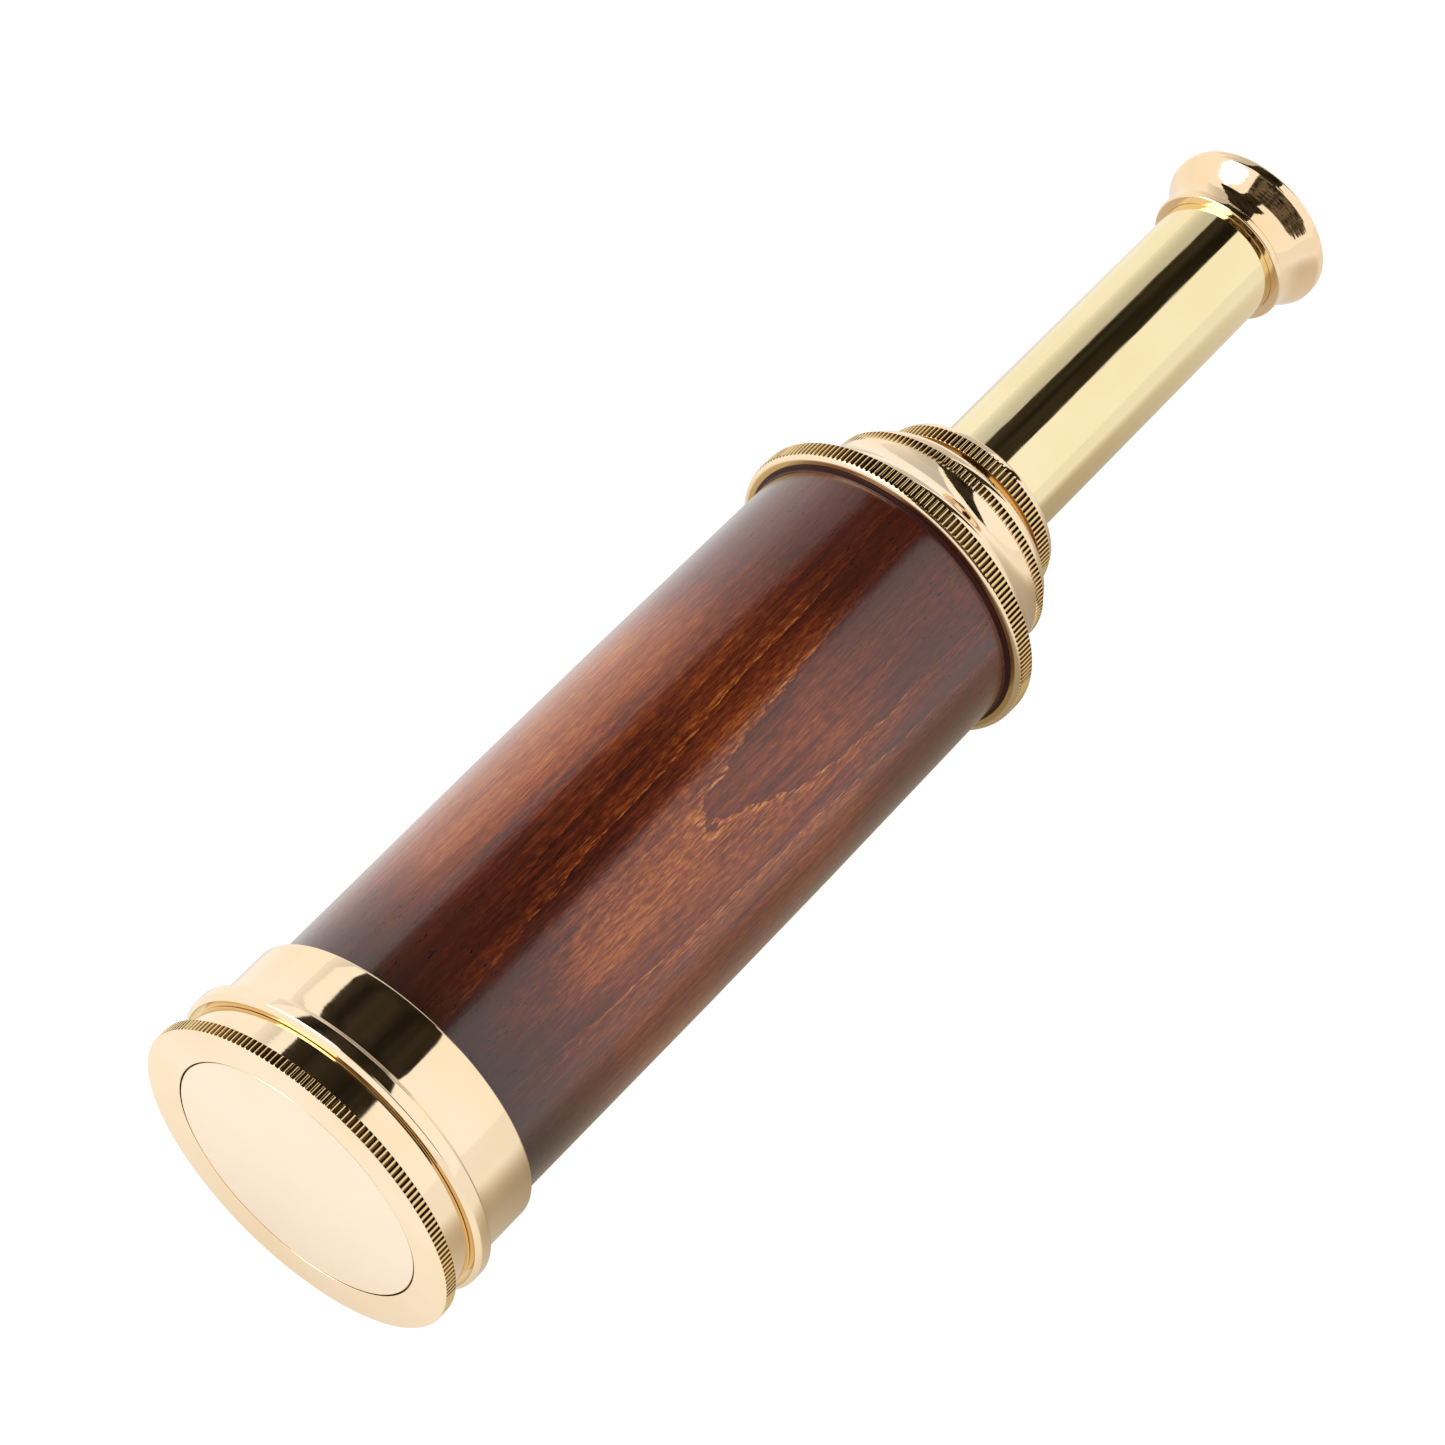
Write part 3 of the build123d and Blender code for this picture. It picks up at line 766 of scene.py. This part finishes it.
def make_card(name, corners, material):
    """Flat studio card, which polished surfaces mirror but the camera doesn't see."""
    mesh = bpy.data.meshes.new(name)
    mesh.from_pydata(corners, [], [range(len(corners))])
    mesh.materials.append(material)
    card = bpy.data.objects.new(name, mesh)
    card.visible_camera = False
    card.visible_shadow = False
    card.visible_diffuse = False
    card.visible_transmission = False
    bpy.context.scene.collection.objects.link(card)


def make_cards():
    """What the brass mirrors: dark flags overhead and beyond, grey walls, the camera's side."""
    dark = glowing_material("dark_card", (1.0, 0.80, 0.52), 0.012, 0.050, scale=0.004)
    mottled = glowing_material("camera_side", (1.0, 0.82, 0.56), 0.0, 0.20, scale=0.012)
    height = 0.60
    ceiling = height + 0.01
    make_card("overhead_flag", [
        (-0.605, 0.18, height), (0.34, 0.18, height), (0.30, 0.36, height), (0.205, 0.53, height),
        (0.22, 0.80, height), (-0.24, 0.80, height),
    ], dark)
    make_card("far_flag", [
        (0.11, 1.0, 0.02), (0.20, 1.0, 0.02), (0.25, 1.0, 0.30), (0.28, 1.0, 0.80),
        (-0.29, 1.0, 0.80), (-0.16, 1.0, 0.68), (-0.06, 1.0, 0.54), (0.05, 1.0, 0.26),
    ], dark)
    make_card("grey_ceiling", [
        (-1.30, 0.48, ceiling), (-0.30, 0.48, ceiling), (-0.20, 1.30, ceiling),
        (-1.30, 1.30, ceiling),
    ], fading_material("grey_ceiling", "X", -1300, -300, 0.95, 0.62))
    make_card("grey_back", [
        (-1.30, 1.31, 0.0), (-0.10, 1.31, 0.0), (-0.20, 1.31, 0.61), (-1.30, 1.31, 0.61),
    ], fading_material("grey_back", "X", -1300, -150, 0.92, 0.60))
    make_card("camera_side", [
        (0.00, -0.2, 0.23), (0.26, -0.2, 0.10), (1.00, -0.2, 0.10), (1.00, -0.2, 0.40),
        (0.62, -0.2, 0.80), (0.38, -0.2, 1.15), (-0.16, -0.2, 1.29), (-0.13, -0.2, 0.66),
    ], mottled)
    make_card("overhead_boom", [
        (-0.16, -0.2, 1.29), (0.38, -0.2, 1.15), (0.16, 0.19, height), (-0.14, 0.19, height),
    ], dark)


def make_soft_light(name, centre, facing, width, height, radiance):
    """Rectangular area light of the given radiance."""
    lamp = bpy.data.lights.new(name, "AREA")
    lamp.shape = "RECTANGLE"
    lamp.size, lamp.size_y = width, height
    lamp.energy = radiance * math.pi * width * height
    light = bpy.data.objects.new(name, lamp)
    light.location = centre
    light.rotation_euler = (Vector(facing) - Vector(centre)).to_track_quat("-Z", "Y").to_euler()
    light.visible_camera = False
    bpy.context.scene.collection.objects.link(light)


def make_studio():
    scene = bpy.context.scene
    scene.view_settings.view_transform = "Standard"
    world = bpy.data.worlds.new("white_surround")
    world.use_nodes = True
    background = world.node_tree.nodes["Background"]
    background.inputs["Color"].default_value = rgb(1, 1, 1)
    background.inputs["Strength"].default_value = 1.08
    scene.world = world
    make_floor()
    make_cards()
    make_soft_light("key_light", (-0.365, -0.13, 0.459), (0, 0.25, 0), 0.54, 0.38, 3.0)


def dress(piece, node, body, material):
    """Gives a piece its material and puts it in place of its CAD node."""
    piece.data.materials.append(material)
    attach(piece, body)
    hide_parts(node)


def dress_cad_nodes(materials):
    """Gives the CAD nodes that are kept their materials."""
    for node, material in materials.items():
        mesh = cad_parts[node].data
        mesh.materials.clear()
        mesh.materials.append(material)


def build():
    brasses = make_brass_materials()
    outer = dust_cap(brasses) + front_ferrule(brasses) + barrel(wood_material())
    outer += barrel_end_ring(brasses) + shoulder_dome(brasses) + guide_collar(brasses)
    outer += draw_tube(brasses) + eyepiece_cup(brasses) + thumb_ring(brasses)
    for piece, node, body, material in outer:
        dress(piece, node, body, material)
    dress_cad_nodes(inner_materials(brasses))


make_camera()
make_studio()
build()
